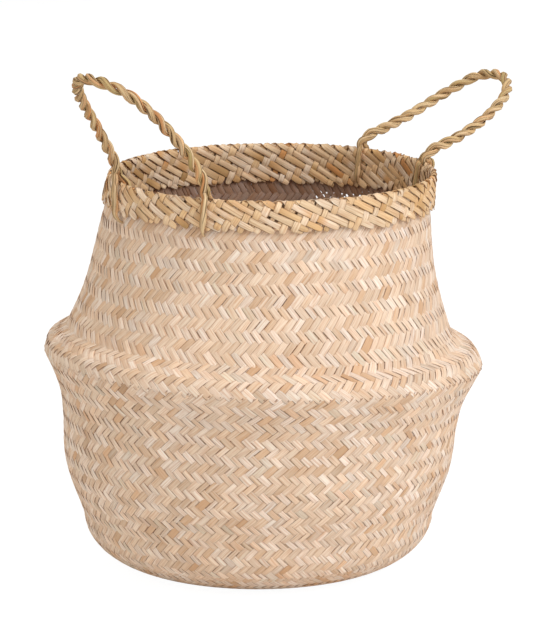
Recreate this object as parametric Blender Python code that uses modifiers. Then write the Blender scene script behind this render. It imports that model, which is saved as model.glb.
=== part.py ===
"""A belly basket: a plaited grass basket with a folded belly and two rope handles.

The woven body is one plaited fabric. It is split here where its work changes: the
base mat, the lower wall, the upper wall that is folded down inside the belly, and
the rim, whose strips are turned over a rolled edge. Each handle is a rope of two
twisted plies. At the rim the plies part, straddle the band and are tucked through
the wall below it. Units are metres, +Z is up, and the base stands on z = 0.
"""

import math

import bmesh
import bpy
import numpy as np
from mathutils import Matrix, Vector

# Woven wall
WALL = 0.003
GAP = 0.0003
BASE_RADIUS = 0.086
CORNER_REACH = 0.0515
CORNER_RISE = 0.040
WAIST_RADIUS = 0.1514
WAIST_HEIGHT = 0.079
SHOULDER_RADIUS = 0.1546
SHOULDER_HEIGHT = 0.113
FLARE_RADIUS = 0.1588
FLARE_HEIGHT = 0.1362
RIDGE_RADIUS = 0.1716
RIDGE_HEIGHT = 0.1645
FOLD_RADIUS = 0.1665
FOLD_HEIGHT = 0.1754
STEP_RADIUS = 0.154
STEP_HEIGHT = 0.1832
NECK_RADIUS = 0.1484
NECK_HEIGHT = 0.191
THROAT_RADIUS = 0.1354
THROAT_HEIGHT = 0.230
COLLAR_RADIUS = 0.1262
BAND_BOTTOM = 0.283

# Rim
RIM_HEIGHT = 0.3089
EDGE_RADIUS = 0.0035
BAND_WALL = 0.0026
BAND_GAP = 0.0004
TOOTH_DEPTH = 0.003
TOOTH_COUNT = 48

# Lean and tilt that the maker's hands left in the plaiting
LEAN_X = 0.0085
LEAN_Y = -0.0073
LEAN_POWER_SHARE = 5.0
RIDGE_DROP = 0.007
DROP_X_SHARE = 0.755
DROP_Y_SHARE = -0.656
RIDGE_SLIDE = 0.0036
RIM_TILT = 0.0046
TILT_X_SHARE = -0.192
TILT_Y_SHARE = -0.982

# Rope handles
PLY_RADIUS = 0.0021
PLY_OFFSET = 0.00255
LAY_LENGTH = 0.020
STRAIGHT_END = 0.003
# Rounded end of a ply: distance back from full width and width, as shares of its radius
ROUND_END_SHARES = ((1.0, 0.3), (0.8, 0.62), (0.45, 0.9))
LEG_RADIUS = 0.0021
LEG_TIP_RADIUS = 0.0015
LEG_CLEARANCE = 0.0006
LEG_TOP = 0.0105
SEAT_GAP = 0.0005
TUCK_DROP = 0.0115
HOLE_CLEARANCE = 0.0005
CUTTER_OVERRUN = 0.006
RIGHT_CENTRE = math.radians(-5.0)
RIGHT_HALF_SPREAD = math.radians(18.7)
LEFT_CENTRE = math.radians(183.2)
LEFT_HALF_SPREAD = math.radians(23.0)
RIGHT_LENGTH = 0.1137
RIGHT_LEAN = math.radians(75.8)
RIGHT_BEND = -0.022
RIGHT_SKEW = -0.007
LEFT_LENGTH = 0.1102
LEFT_LEAN = math.radians(33.9)
LEFT_BEND = 0.022
LEFT_SKEW = 0.0067
# Loop outline: across, as shares of half the spread, and along, as shares of the length
RIGHT_LOOP_SHARES = (
    (-1.0, 0.0), (-1.0, 0.33), (-0.86, 0.66), (-0.58, 0.88), (-0.03, 1.0),
    (0.58, 0.95), (0.90, 0.70), (0.97, 0.35), (1.0, 0.0),
)
LEFT_LOOP_SHARES = (
    (-1.0, 0.0), (-0.96, 0.25), (-0.80, 0.57), (-0.52, 0.82), (0.0, 1.0),
    (0.56, 0.95), (0.78, 0.80), (0.95, 0.36), (1.0, 0.0),
)

# Counts
SEGMENTS = 48
CORNER_STEPS = 4
SPAN_STEPS = 2
EDGE_SIDES = 8
LOOP_STEPS = 16
POINTS_A_TURN = 7
HOLE_SIDES = 10
PLY_SIDES_RESOLUTION = 1
MERGE_DISTANCE = 0.00001

EDGE_MID_RADIUS = COLLAR_RADIUS + (BAND_GAP + BAND_WALL - WALL) / 2
EDGE_MID_HEIGHT = RIM_HEIGHT - EDGE_RADIUS
BAND_TOP = EDGE_MID_HEIGHT - EDGE_RADIUS - GAP
BAND_OUTER_RADIUS = COLLAR_RADIUS + BAND_GAP + BAND_WALL
HINGE_HEIGHT = EDGE_MID_HEIGHT + LEG_TOP + SEAT_GAP + PLY_RADIUS


def clear_scene():
    """Remove every object that the scene holds."""
    for found in list(bpy.data.objects):
        bpy.data.objects.remove(found, do_unlink=True)


def new_collection(name):
    """Make a collection and link it to the scene."""
    group = bpy.data.collections.new(name)
    bpy.context.scene.collection.children.link(group)
    return group


def finish(name, colour, roughness):
    """Make a Principled material of one colour."""
    material = bpy.data.materials.new(name)
    material.use_nodes = True
    shader = material.node_tree.nodes["Principled BSDF"]
    shader.inputs["Base Color"].default_value = (*colour, 1.0)
    shader.inputs["Roughness"].default_value = roughness
    shader.inputs["Metallic"].default_value = 0.0
    return material


def spline(stations, steps):
    """Smooth curve through stations, with a number of points for each span."""
    stations = [np.array(p, dtype=float) for p in stations]
    first = 2 * stations[0] - stations[1]
    last = 2 * stations[-1] - stations[-2]
    padded = [first, *stations, last]
    points = []
    for i in range(1, len(padded) - 2):
        a, b, c, d = padded[i - 1 : i + 3]
        for k in range(steps):
            t = k / steps
            points.append(
                (2 * b + (c - a) * t + (2 * a - 5 * b + 4 * c - d) * t**2
                 + (3 * b - a - 3 * c + d) * t**3) / 2
            )
    points.append(stations[-1])
    return np.array(points)


def lean_share(height):
    """Share of the rim's lean that a height has."""
    return (min(max(height, 0.0), RIM_HEIGHT) / RIM_HEIGHT) ** LEAN_POWER_SHARE


def smooth_share(value, low, high):
    """Smooth rise from 0 at low to 1 at high."""
    t = min(max((value - low) / (high - low), 0.0), 1.0)
    return t * t * (3 - 2 * t)


def rim_drop(x, y):
    """How far the tilted rim lies below its middle at a place, or along a direction."""
    return RIM_TILT * (x * TILT_X_SHARE + y * TILT_Y_SHARE) / COLLAR_RADIUS


def settle(point):
    """Place of a point of the true turned form in the basket that leans and tilts."""
    x, y, z = point
    rise = smooth_share(z, CORNER_RISE, RIDGE_HEIGHT)
    fall = smooth_share(z, RIDGE_HEIGHT, THROAT_HEIGHT)
    side = (x * DROP_X_SHARE + y * DROP_Y_SHARE) / RIDGE_RADIUS
    drop = RIDGE_DROP * side * (rise - fall)
    drop += rim_drop(x, y) * smooth_share(z, THROAT_HEIGHT, RIM_HEIGHT)
    slide = smooth_share(z, WAIST_HEIGHT, RIDGE_HEIGHT) - smooth_share(z, RIDGE_HEIGHT, NECK_HEIGHT)
    slide *= RIDGE_SLIDE
    share = lean_share(z)
    return Vector((
        x + LEAN_X * share + DROP_X_SHARE * slide, y + LEAN_Y * share + DROP_Y_SHARE * slide, z - drop
    ))


def settle_mesh(mesh):
    """Move every vertex of a mesh to its settled place."""
    for vertex in mesh.vertices:
        vertex.co = settle(vertex.co)


def section(outer, wall, bottom_flat):
    """Closed section of a wall from its outer line, which runs from top to bottom.

    The ends are level cuts, apart from a bottom that meets the base mat, which is
    upright, so that the next piece butts against it.
    """
    outer = np.array(outer)
    inner = []
    for i, point in enumerate(outer):
        along = outer[min(i + 1, len(outer) - 1)] - outer[max(i - 1, 0)]
        along = along / np.linalg.norm(along)
        inward = np.array((along[1], -along[0]))
        if i == len(outer) - 1 and bottom_flat:
            inward = np.array((0.0, 1.0))
        elif i in (0, len(outer) - 1):
            inward = np.array((1 / inward[0], 0.0))
        inner.append(point + inward * wall)
    return [tuple(p) for p in outer] + [tuple(p) for p in reversed(inner)]


def turned(name, outline, segments, material, group):
    """Solid turned from a closed outline of (radius, height), then settled."""
    mesh = bpy.data.meshes.new(name)
    shape = bmesh.new()
    corners = [shape.verts.new((radius, 0.0, height)) for radius, height in outline]
    for a, b in zip(corners, corners[1:] + corners[:1]):
        shape.edges.new((a, b))
    shape.to_mesh(mesh)
    shape.free()
    piece = bpy.data.objects.new(name, mesh)
    group.objects.link(piece)
    screw = piece.modifiers.new("Turn", "SCREW")
    screw.axis = "Z"
    screw.angle = math.tau
    screw.steps = segments
    screw.render_steps = segments
    screw.use_merge_vertices = True
    screw.merge_threshold = MERGE_DISTANCE
    bpy.context.view_layer.update()
    graph = bpy.context.evaluated_depsgraph_get()
    solid = bpy.data.meshes.new_from_object(piece.evaluated_get(graph))
    piece.modifiers.clear()
    piece.data = solid
    bpy.data.meshes.remove(mesh)
    solid.name = name
    solid.materials.append(material)
    return piece


def base_mat(material, group):
    """Flat plaited mat that the basket stands on."""
    bpy.ops.mesh.primitive_cylinder_add(
        vertices=SEGMENTS, radius=BASE_RADIUS, depth=WALL, location=(0, 0, WALL / 2)
    )
    mat = bpy.context.object
    mat.name = "base_mat"
    mat.data.materials.append(material)
    for owner in list(mat.users_collection):
        owner.objects.unlink(mat)
    group.objects.link(mat)


def lower_line():
    """Outer line of the lower wall, from the belly's ridge down to the base."""
    corner_radius = BASE_RADIUS + GAP + CORNER_REACH
    side = spline(
        (
            (RIDGE_RADIUS, RIDGE_HEIGHT - GAP / 2),
            (FLARE_RADIUS, FLARE_HEIGHT),
            (SHOULDER_RADIUS, SHOULDER_HEIGHT),
            (WAIST_RADIUS, WAIST_HEIGHT),
            (corner_radius, CORNER_RISE),
        ),
        SPAN_STEPS,
    )
    corner = []
    for k in range(1, CORNER_STEPS + 1):
        turn = math.pi / 2 * (1 - k / CORNER_STEPS)
        reach = BASE_RADIUS + GAP + CORNER_REACH * math.sin(turn)
        corner.append((reach, CORNER_RISE * (1 - math.cos(turn))))
    return [tuple(p) for p in side] + corner


def upper_line():
    """Outer line of the upper wall, from the rim band down to the belly's ridge."""
    return [
        tuple(p)
        for p in spline(
            (
                (COLLAR_RADIUS, BAND_BOTTOM),
                (THROAT_RADIUS, THROAT_HEIGHT),
                (NECK_RADIUS, NECK_HEIGHT),
                (STEP_RADIUS, STEP_HEIGHT),
                (FOLD_RADIUS, FOLD_HEIGHT),
                (RIDGE_RADIUS, RIDGE_HEIGHT + GAP / 2),
            ),
            SPAN_STEPS,
        )
    ]


def lower_wall(material, group):
    """Belly from the base's edge out and up to the ridge."""
    outline = section(lower_line(), WALL, bottom_flat=True)
    settle_mesh(turned("lower_wall", outline, SEGMENTS, material, group).data)


def upper_wall(material, group, cutters):
    """Upper half, folded in at the ridge, with the holes that the plies pass through."""
    outline = section(upper_line(), WALL, bottom_flat=False)
    wall = turned("upper_wall", outline, SEGMENTS, material, group)
    settle_mesh(wall.data)
    for cutter in cutters:
        hole = wall.modifiers.new("Ply hole", "BOOLEAN")
        hole.operation = "DIFFERENCE"
        hole.solver = "EXACT"
        hole.object = cutter


def rim_bands(material, group):
    """Inner and outer layers of the rim, whose strips are turned over and down."""
    inner = [
        (COLLAR_RADIUS, BAND_TOP),
        (COLLAR_RADIUS, BAND_BOTTOM + GAP),
        (COLLAR_RADIUS - WALL, BAND_BOTTOM + GAP),
        (COLLAR_RADIUS - WALL, BAND_TOP),
    ]
    settle_mesh(turned("rim_inner_band", inner, SEGMENTS, material, group).data)
    outer = [
        (BAND_OUTER_RADIUS, BAND_TOP),
        (BAND_OUTER_RADIUS, BAND_BOTTOM),
        (BAND_OUTER_RADIUS - BAND_WALL, BAND_BOTTOM),
        (BAND_OUTER_RADIUS - BAND_WALL, BAND_TOP),
    ]
    flap = turned("rim_outer_band", outer, 2 * TOOTH_COUNT, material, group)
    half = math.pi / TOOTH_COUNT
    middle = (BAND_TOP + BAND_BOTTOM) / 2
    for vertex in flap.data.vertices:
        step = round(math.atan2(vertex.co.y, vertex.co.x) / half)
        if vertex.co.z < middle and step % 2:
            vertex.co.z += TOOTH_DEPTH
    settle_mesh(flap.data)


def rolled_edge(material, group):
    """Rolled edge that the strips of the rim are turned over."""
    bpy.ops.mesh.primitive_torus_add(
        major_segments=SEGMENTS,
        minor_segments=EDGE_SIDES,
        major_radius=EDGE_MID_RADIUS,
        minor_radius=EDGE_RADIUS,
        location=(0, 0, 0),
    )
    ring = bpy.context.object
    ring.name = "rim_rolled_edge"
    ring.data.transform(Matrix.Translation((0, 0, EDGE_MID_HEIGHT)))
    ring.data.materials.append(material)
    settle_mesh(ring.data)
    for owner in list(ring.users_collection):
        owner.objects.unlink(ring)
    group.objects.link(ring)


def tube(name, points, radii, material, group, centre):
    """Round ply along points, with a radius at each, as a curve with filled caps."""
    curve = bpy.data.curves.new(name, "CURVE")
    curve.dimensions = "3D"
    curve.fill_mode = "FULL"
    curve.bevel_depth = 1.0
    curve.bevel_resolution = PLY_SIDES_RESOLUTION
    curve.use_fill_caps = True
    curve.twist_mode = "MINIMUM"
    curve.render_resolution_u = 0
    line = curve.splines.new("POLY")
    line.points.add(len(points) - 1)
    for corner, place, radius in zip(line.points, points, radii):
        corner.co = (*(Vector(place) - centre), 1.0)
        corner.radius = radius
    curve.materials.append(material)
    piece = bpy.data.objects.new(name, curve)
    piece.location = centre
    group.objects.link(piece)
    return piece


def ring_frame(centre_angle):
    """Outward direction at an angle round the rim, and the direction along the tilted rim."""
    out = Vector((math.cos(centre_angle), math.sin(centre_angle), 0.0))
    side = Vector((-out.y, out.x, -rim_drop(-out.y, out.x)))
    return out, side.normalized()


def hinge_centre(centre_angle, half_spread):
    """Middle of the line that a handle swings about, above the rim."""
    out, _ = ring_frame(centre_angle)
    flat = out * EDGE_MID_RADIUS * math.cos(half_spread)
    leaned = settle((flat.x, flat.y, EDGE_MID_HEIGHT))
    return Vector((leaned.x, leaned.y, HINGE_HEIGHT - rim_drop(flat.x, flat.y)))


def loop_line(centre_angle, half_spread, length, lean, bend, skew, shares):
    """Middle line of a handle's rope, from one leg top over the loop to the other."""
    out, side = ring_frame(centre_angle)
    centre = hinge_centre(centre_angle, half_spread)
    half = EDGE_MID_RADIUS * math.sin(half_spread)
    line = []
    for across, along in spline(shares, LOOP_STEPS):
        reach = along * length
        sag = bend * along * along
        outward = reach * math.sin(lean) + sag * math.cos(lean)
        height = reach * math.cos(lean) - sag * math.sin(lean)
        place = centre + side * (across * half + skew * along) + out * outward
        line.append(place + Vector((0.0, 0.0, height)))
    return line


def spaced(line, points_a_lay):
    """The same line with evenly spaced points, some to each turn of the lay."""
    line = np.array([tuple(p) for p in line])
    steps = np.linalg.norm(np.diff(line, axis=0), axis=1)
    travelled = np.concatenate(([0.0], np.cumsum(steps)))
    count = round(travelled[-1] / LAY_LENGTH) * points_a_lay + 1
    wanted = np.linspace(0.0, travelled[-1], count)
    places = [np.interp(wanted, travelled, line[:, k]) for k in range(3)]
    return [Vector(p) for p in np.stack(places, axis=1)], travelled[-1]


def carried_frames(points, start_side):
    """Directions across a line that are carried along it without twist."""
    frames = []
    side = start_side
    for i in range(len(points)):
        along = points[min(i + 1, len(points) - 1)] - points[max(i - 1, 0)]
        along.normalize()
        side = (side - along * side.dot(along)).normalized()
        frames.append((side, along.cross(side), along))
    return frames


def ply_lines(points, length, hinge_side):
    """Middle lines of two plies twisted round each other along a rope's middle line.

    Both ends lie side by side along the hinge line and run straight there.
    """
    frames = carried_frames(points, hinge_side)
    end_side, end_up, _ = frames[-1]
    end_angle = math.atan2(hinge_side.dot(end_up), hinge_side.dot(end_side))
    turns = round(length / LAY_LENGTH) + end_angle / math.tau
    lines = ([], [])
    for i, (point, (side, up, _)) in enumerate(zip(points, frames)):
        travelled = length * i / (len(points) - 1) - STRAIGHT_END
        share = min(max(travelled / (length - 2 * STRAIGHT_END), 0.0), 1.0)
        angle = math.tau * turns * share
        swing = side * math.cos(angle) + up * math.sin(angle)
        if share in (0.0, 1.0):
            swing = hinge_side
        lines[0].append(point + swing * PLY_OFFSET)
        lines[1].append(point - swing * PLY_OFFSET)
    return lines, frames


def rounded_ends(line, frames):
    """A ply's line and radii with a rounded end past each leg top."""
    first, last = frames[0][2], frames[-1][2]
    head = [line[0] - first * PLY_RADIUS * reach for reach, _ in ROUND_END_SHARES]
    tail = [line[-1] + last * PLY_RADIUS * reach for reach, _ in reversed(ROUND_END_SHARES)]
    head_radii = [PLY_RADIUS * width for _, width in ROUND_END_SHARES]
    radii = head_radii + [PLY_RADIUS] * len(line) + list(reversed(head_radii))
    return head + line + tail, radii


def handle(side_name, centre_angle, half_spread, loop_values, material, group):
    """Rope loop of two twisted plies, hung on an empty that lies on its hinge line."""
    _, hinge_side = ring_frame(centre_angle)
    centre = hinge_centre(centre_angle, half_spread)
    line = loop_line(centre_angle, half_spread, *loop_values)
    points, length = spaced(line, POINTS_A_TURN)
    pivot = bpy.data.objects.new(f"handle_{side_name}_pivot", None)
    pivot.location = centre
    group.objects.link(pivot)
    lines, frames = ply_lines(points, length, hinge_side)
    for letter, line in zip("ab", lines):
        full, radii = rounded_ends(line, frames)
        name = f"handle_{side_name}_ply_{letter}"
        piece = tube(name, full, radii, material, group, centre)
        piece.parent = pivot
        piece.location = (0, 0, 0)
    return length


def tuck_height():
    """Height of the holes that the plies are tucked through."""
    return BAND_BOTTOM - TUCK_DROP


def leg_line(side_sign):
    """Distance outward from the rim's middle and height of a leg ply's middle line.

    The sign is 1 for the ply outside the band and -1 for the one inside it.
    """
    around = EDGE_RADIUS + LEG_CLEARANCE + LEG_RADIUS
    face = BAND_OUTER_RADIUS - EDGE_MID_RADIUS + LEG_CLEARANCE + LEG_RADIUS
    drop = TUCK_DROP
    top = EDGE_MID_HEIGHT + LEG_TOP - LEG_RADIUS
    line = [(0.0, top + LEG_RADIUS * reach) for reach, _ in ROUND_END_SHARES]
    line += [
        (0.0, top),
        (around * 0.12, EDGE_MID_HEIGHT + LEG_TOP * 0.72),
        (around * 0.45, EDGE_MID_HEIGHT + around * 1.02),
        (around * 0.80, EDGE_MID_HEIGHT + around * 0.72),
        (around * 1.02, EDGE_MID_HEIGHT + around * 0.30),
        (around * 1.02, EDGE_MID_HEIGHT - around * 0.20),
        (face, BAND_TOP - around * 0.40),
        (face, (BAND_TOP + BAND_BOTTOM) / 2),
        (face, BAND_BOTTOM),
        (face * 0.93, BAND_BOTTOM - drop * 0.50),
        (face * 0.68, BAND_BOTTOM - drop * 0.80),
        (face * 0.30, BAND_BOTTOM - drop * 0.97),
        (-face * 0.10, BAND_BOTTOM - drop),
    ]
    return [(side_sign * out, height) for out, height in line]


def leg_place(angle, out, height, along):
    """Settled place at a distance out from the rim's middle and along the rim."""
    turn = angle + along / EDGE_MID_RADIUS
    radius = EDGE_MID_RADIUS + out
    return settle((radius * math.cos(turn), radius * math.sin(turn), height))


def leg_spots(centre_angle, half_spread):
    """Angle round the rim and name of each leg of a handle."""
    return ((centre_angle - half_spread, "first"), (centre_angle + half_spread, "second"))


def handle_legs(side_name, centre_angle, half_spread, material, group):
    """The parted ends of a rope's plies: one outside the band and one inside it."""
    for angle, leg in leg_spots(centre_angle, half_spread):
        for place, sign in (("outer", 1), ("inner", -1)):
            line = leg_line(sign)
            points = [leg_place(angle, out, height, sign * PLY_OFFSET) for out, height in line]
            taper = (LEG_RADIUS - LEG_TIP_RADIUS) / (len(line) - 1)
            radii = [LEG_RADIUS - taper * i for i in range(len(line))]
            for i, (_, width) in enumerate(ROUND_END_SHARES):
                radii[i] = LEG_RADIUS * width
            name = f"handle_{side_name}_{leg}_leg_{place}"
            tube(name, points, radii, material, group, points[0])


def hole_cutters(group):
    """Round cutters for the holes that the leg plies are tucked through."""
    cutters = []
    spots = leg_spots(RIGHT_CENTRE, RIGHT_HALF_SPREAD)
    spots += leg_spots(LEFT_CENTRE, LEFT_HALF_SPREAD)
    for angle, _ in spots:
        for sign in (1, -1):
            place = leg_place(angle, 0.0, tuck_height(), sign * PLY_OFFSET)
            out, _ = ring_frame(angle)
            bpy.ops.mesh.primitive_cylinder_add(
                vertices=HOLE_SIDES,
                radius=LEG_RADIUS + HOLE_CLEARANCE,
                depth=2 * (WALL + CUTTER_OVERRUN),
                location=place,
                rotation=out.to_track_quat("Z", "Y").to_euler(),
            )
            cutter = bpy.context.object
            cutter.name = "cut_ply_hole"
            cutter.hide_render = True
            cutter.display_type = "WIRE"
            for owner in list(cutter.users_collection):
                owner.objects.unlink(cutter)
            group.objects.link(cutter)
            cutters.append(cutter)
    return cutters


def smooth_round_pieces(group):
    """Shade the round pieces smooth, apart from their sharp edges."""
    for piece in group.objects:
        if piece.type == "MESH":
            piece.data.shade_smooth()
            piece.data.set_sharp_from_angle(angle=math.radians(40.0))


def main():
    """Build the basket."""
    clear_scene()
    basket = new_collection("belly_basket")
    cuts = new_collection("cutters")
    weave = finish("plaited_grass", (0.60, 0.42, 0.25), 0.8)
    edge = finish("rim_grass", (0.56, 0.40, 0.20), 0.75)
    rope = finish("twisted_grass_rope", (0.50, 0.34, 0.16), 0.75)
    right = (RIGHT_LENGTH, RIGHT_LEAN, RIGHT_BEND, RIGHT_SKEW, RIGHT_LOOP_SHARES)
    left = (LEFT_LENGTH, LEFT_LEAN, LEFT_BEND, LEFT_SKEW, LEFT_LOOP_SHARES)
    base_mat(weave, basket)
    lower_wall(weave, basket)
    upper_wall(weave, basket, hole_cutters(cuts))
    rim_bands(weave, basket)
    rolled_edge(edge, basket)
    handle("right", RIGHT_CENTRE, RIGHT_HALF_SPREAD, right, rope, basket)
    handle("left", LEFT_CENTRE, LEFT_HALF_SPREAD, left, rope, basket)
    handle_legs("right", RIGHT_CENTRE, RIGHT_HALF_SPREAD, rope, basket)
    handle_legs("left", LEFT_CENTRE, LEFT_HALF_SPREAD, rope, basket)
    smooth_round_pieces(basket)


main()
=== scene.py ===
import logging
import math
from dataclasses import dataclass, field
from enum import Enum

import bpy
import numpy as np
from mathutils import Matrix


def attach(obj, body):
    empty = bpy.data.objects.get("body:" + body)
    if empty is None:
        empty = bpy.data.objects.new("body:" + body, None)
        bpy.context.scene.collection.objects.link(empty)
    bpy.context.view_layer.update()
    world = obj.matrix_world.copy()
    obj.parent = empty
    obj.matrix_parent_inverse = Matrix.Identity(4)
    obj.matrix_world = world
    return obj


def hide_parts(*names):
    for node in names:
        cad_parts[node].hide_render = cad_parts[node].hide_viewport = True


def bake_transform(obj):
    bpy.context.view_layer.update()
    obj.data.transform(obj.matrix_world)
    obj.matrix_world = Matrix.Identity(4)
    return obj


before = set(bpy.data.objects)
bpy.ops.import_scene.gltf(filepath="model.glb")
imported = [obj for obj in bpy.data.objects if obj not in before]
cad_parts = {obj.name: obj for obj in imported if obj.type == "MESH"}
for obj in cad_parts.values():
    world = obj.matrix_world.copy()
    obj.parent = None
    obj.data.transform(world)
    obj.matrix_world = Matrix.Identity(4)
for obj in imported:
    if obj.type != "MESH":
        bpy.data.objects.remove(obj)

LOG = logging.getLogger("belly_basket")
MILLIMETRE = 0.001
TINY = 1e-12
# Painted shade of the basket's inside: the strips' inner faces are darker and browner, standing in for
# the dimmer light in there; added to how light they are, and to their share of the edges' colour
PAINTED_INSIDE_SHADE = {"inside_shade_level": -0.12, "inside_shade_tint": 0.62}
# Radius, height, and the normal's parts outward and up, at places along a line
Section = tuple[np.ndarray, np.ndarray, np.ndarray, np.ndarray]
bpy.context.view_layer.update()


class Lean(Enum):
    """Which way a strip leans, seen from the side that shows."""

    FALLING = -1
    RISING = 1


class Side(Enum):
    """Which side of the rim band a ply's leg runs down."""

    OUTER = 1
    INNER = -1


def srgb(red: int, green: int, blue: int) -> tuple[float, float, float, float]:
    """Turn a screen colour into the linear colour that a shader takes.

    Args:
        red: Red part, 0 to 255.
        green: Green part.
        blue: Blue part.

    Returns:
        The linear colour, with full alpha.
    """
    def linear(part: int) -> float:
        """Linear value of one part."""
        share = part / 255
        return share / 12.92 if share <= 0.04045 else ((share + 0.055) / 1.055) ** 2.4

    return linear(red), linear(green), linear(blue), 1.0


def smooth_line(stations: np.ndarray, steps: int) -> np.ndarray:
    """Smooth curve through stations.

    Args:
        stations: Points that the curve passes through.
        steps: Number of points for each span.

    Returns:
        The curve's points.
    """
    first = 2 * stations[0] - stations[1]
    last = 2 * stations[-1] - stations[-2]
    padded = np.vstack([first, stations, last])
    rows = []
    for i in range(1, len(padded) - 2):
        a, b, c, d = padded[i - 1 : i + 3]
        for t in np.arange(steps) / steps:
            rows.append(
                (2 * b + (c - a) * t + (2 * a - 5 * b + 4 * c - d) * t**2
                 + (3 * b - a - 3 * c + d) * t**3) / 2
            )
    rows.append(stations[-1])
    return np.array(rows)


def smooth_share(value: np.ndarray, low: float, high: float) -> np.ndarray:
    """Smooth rise from 0 at low to 1 at high."""
    t = np.clip((value - low) / (high - low), 0.0, 1.0)
    return t * t * (3 - 2 * t)


def distances(points: np.ndarray) -> np.ndarray:
    """Distance travelled along a line at each of its points."""
    return np.concatenate(([0.0], np.cumsum(np.linalg.norm(np.diff(points, axis=0), axis=1))))


def section_at(
    line: np.ndarray, marks: np.ndarray, travelled: np.ndarray, reach: float
) -> Section:
    """Radius, height and outward normal at places along the line of a turned form.

    Args:
        line: Radius and height of the line's points.
        marks: Distance travelled at each of them.
        travelled: Distances of the places wanted.
        reach: How far before and after a place its direction is measured.

    Returns:
        Radius, height, and the normal's parts outward and up.
    """
    places = [
        (np.interp(at, marks, line[:, 0]), np.interp(at, marks, line[:, 1]))
        for at in (travelled, travelled + reach, travelled - reach)
    ]
    along_r, along_z = places[1][0] - places[2][0], places[1][1] - places[2][1]
    length = np.hypot(along_r, along_z) + TINY
    return *places[0], along_z / length, -along_r / length


def unit(rows: np.ndarray, least: float = 0.0) -> np.ndarray:
    """Directions of the rows, each made one long."""
    return rows / (np.linalg.norm(rows, axis=1)[:, None] + least)


def turned(radius: np.ndarray, turn: np.ndarray, height: np.ndarray) -> np.ndarray:
    """Points or directions from a radius, an angle round the basket and a height."""
    return np.stack([radius * np.cos(turn), radius * np.sin(turn), height], axis=1)


def twill(rows: np.ndarray) -> np.ndarray:
    """Whether a strip runs over, 1, or under, -1, the strips it crosses two by two."""
    return np.interp(rows % 4, (0, 1, 1.5, 2, 3, 3.5, 4), (1, 1, 0, -1, -1, 0, 1))


def spaced_line(line: np.ndarray, step: float) -> tuple[np.ndarray, np.ndarray]:
    """Space a line's points evenly.

    Args:
        line: Points of the line, with any further values of each point after its place.
        step: Distance wanted between points.

    Returns:
        The even points, and the distance travelled at each.
    """
    travelled = distances(line[:, :3])
    wanted = np.linspace(0.0, travelled[-1], max(int(round(travelled[-1] / step)), 2) + 1)
    columns = [np.interp(wanted, travelled, column) for column in line.T]
    return np.stack(columns, axis=1), wanted


def wavy(rng: np.random.Generator, count: int, samples: int, knots: int) -> np.ndarray:
    """Slow random variation along strips.

    Args:
        rng: Seeded source of the draws.
        count: Number of strips.
        samples: Samples along each strip.
        knots: Number of random values along each strip.

    Returns:
        Values around zero, one row for each strip.
    """
    drawn = rng.normal(0.0, 1.0, (count, knots))
    places = np.linspace(0, knots - 1, samples)
    low = np.minimum(places.astype(int), knots - 2)
    share = places - low
    share = share * share * (3 - 2 * share)
    return drawn[:, low] * (1 - share) + drawn[:, low + 1] * share


def wave(rng: np.random.Generator, samples: int, knots: int) -> np.ndarray:
    """Slow random variation along one strip, around zero."""
    return wavy(rng, 1, samples, knots)[0]


@dataclass(frozen=True)
class Variation:
    """A value that varies from strip to strip and along each strip."""

    middle: float
    spread: float
    waves: float
    knots: int

    def draw(self, rng: np.random.Generator, samples: int) -> np.ndarray:
        """Values along one strip."""
        return self.middle + rng.normal(0.0, self.spread) + wave(rng, samples, self.knots) * self.waves


def connect(tree: bpy.types.NodeTree, node: bpy.types.Node, inputs: dict) -> None:
    """Link a shader node's inputs to outputs of others, or set them to values.

    Args:
        tree: The node tree.
        node: The node.
        inputs: Output or value for each input's name or number.
    """
    for key, value in inputs.items():
        if isinstance(value, bpy.types.NodeSocket):
            tree.links.new(value, node.inputs[key])
        else:
            node.inputs[key].default_value = value


def add_node(tree: bpy.types.NodeTree, kind: str, inputs: dict | None = None) -> bpy.types.Node:
    """Add a shader node and connect it.

    Args:
        tree: The node tree.
        kind: The node's type.
        inputs: Output or value for each input's name or number.

    Returns:
        The node.
    """
    node = tree.nodes.new(kind)
    connect(tree, node, inputs or {})
    return node


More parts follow.
